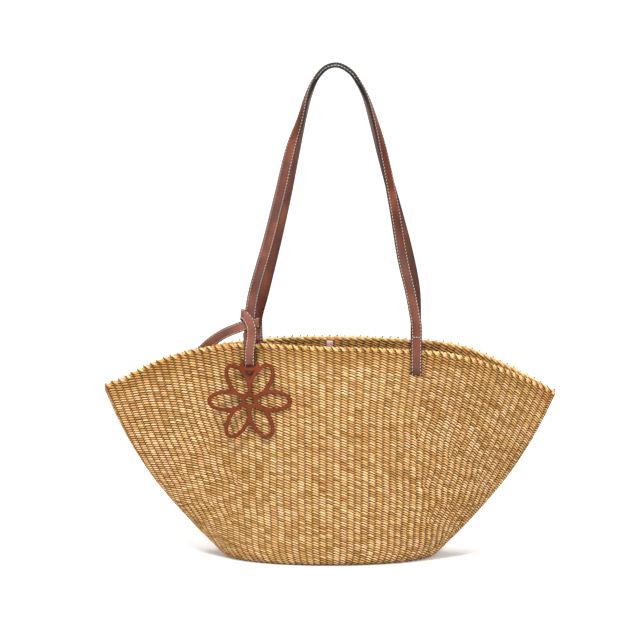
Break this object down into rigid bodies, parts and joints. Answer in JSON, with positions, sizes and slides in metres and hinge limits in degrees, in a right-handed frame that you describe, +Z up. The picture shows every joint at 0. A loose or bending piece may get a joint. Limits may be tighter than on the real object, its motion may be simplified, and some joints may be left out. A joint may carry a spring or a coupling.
{
  "type": "straw basket bag",
  "caption": "Fan-shaped twined straw basket bag with a long pointed mouth, slim stitched leather shoulder straps and a leather charm tied on one of them.",
  "frame": {"origin": "middle of the flat base, on the surface the bag stands on", "axes": "+X to the right as seen from the front, +Y from the front to the back, +Z up; the front with the charm faces -Y"},
  "size_m": [0.502, 0.1486, 0.5474],
  "materials": {
    "straw": "twined plant straw, dry, golden with darker gaps",
    "straw_border": "plaited straw border with cut stake ends",
    "strap_leather": "smooth tan leather, dark painted edges, cream stitches",
    "tie_leather": "smooth tan leather with a pinkish sheen, dark edges, cream stitches",
    "charm_leather": "matte red-brown leather, cut through",
    "tab_leather": "bare pinkish leather"
  },
  "bodies": {
    "root": {"basket_body": "straw", "rim_braid": "straw_border", "front_strap": "strap_leather", "back_strap": "strap_leather", "charm_tie": "tie_leather", "charm": "charm_leather", "inner_tab": "tab_leather"}
  },
  "joints": []
}
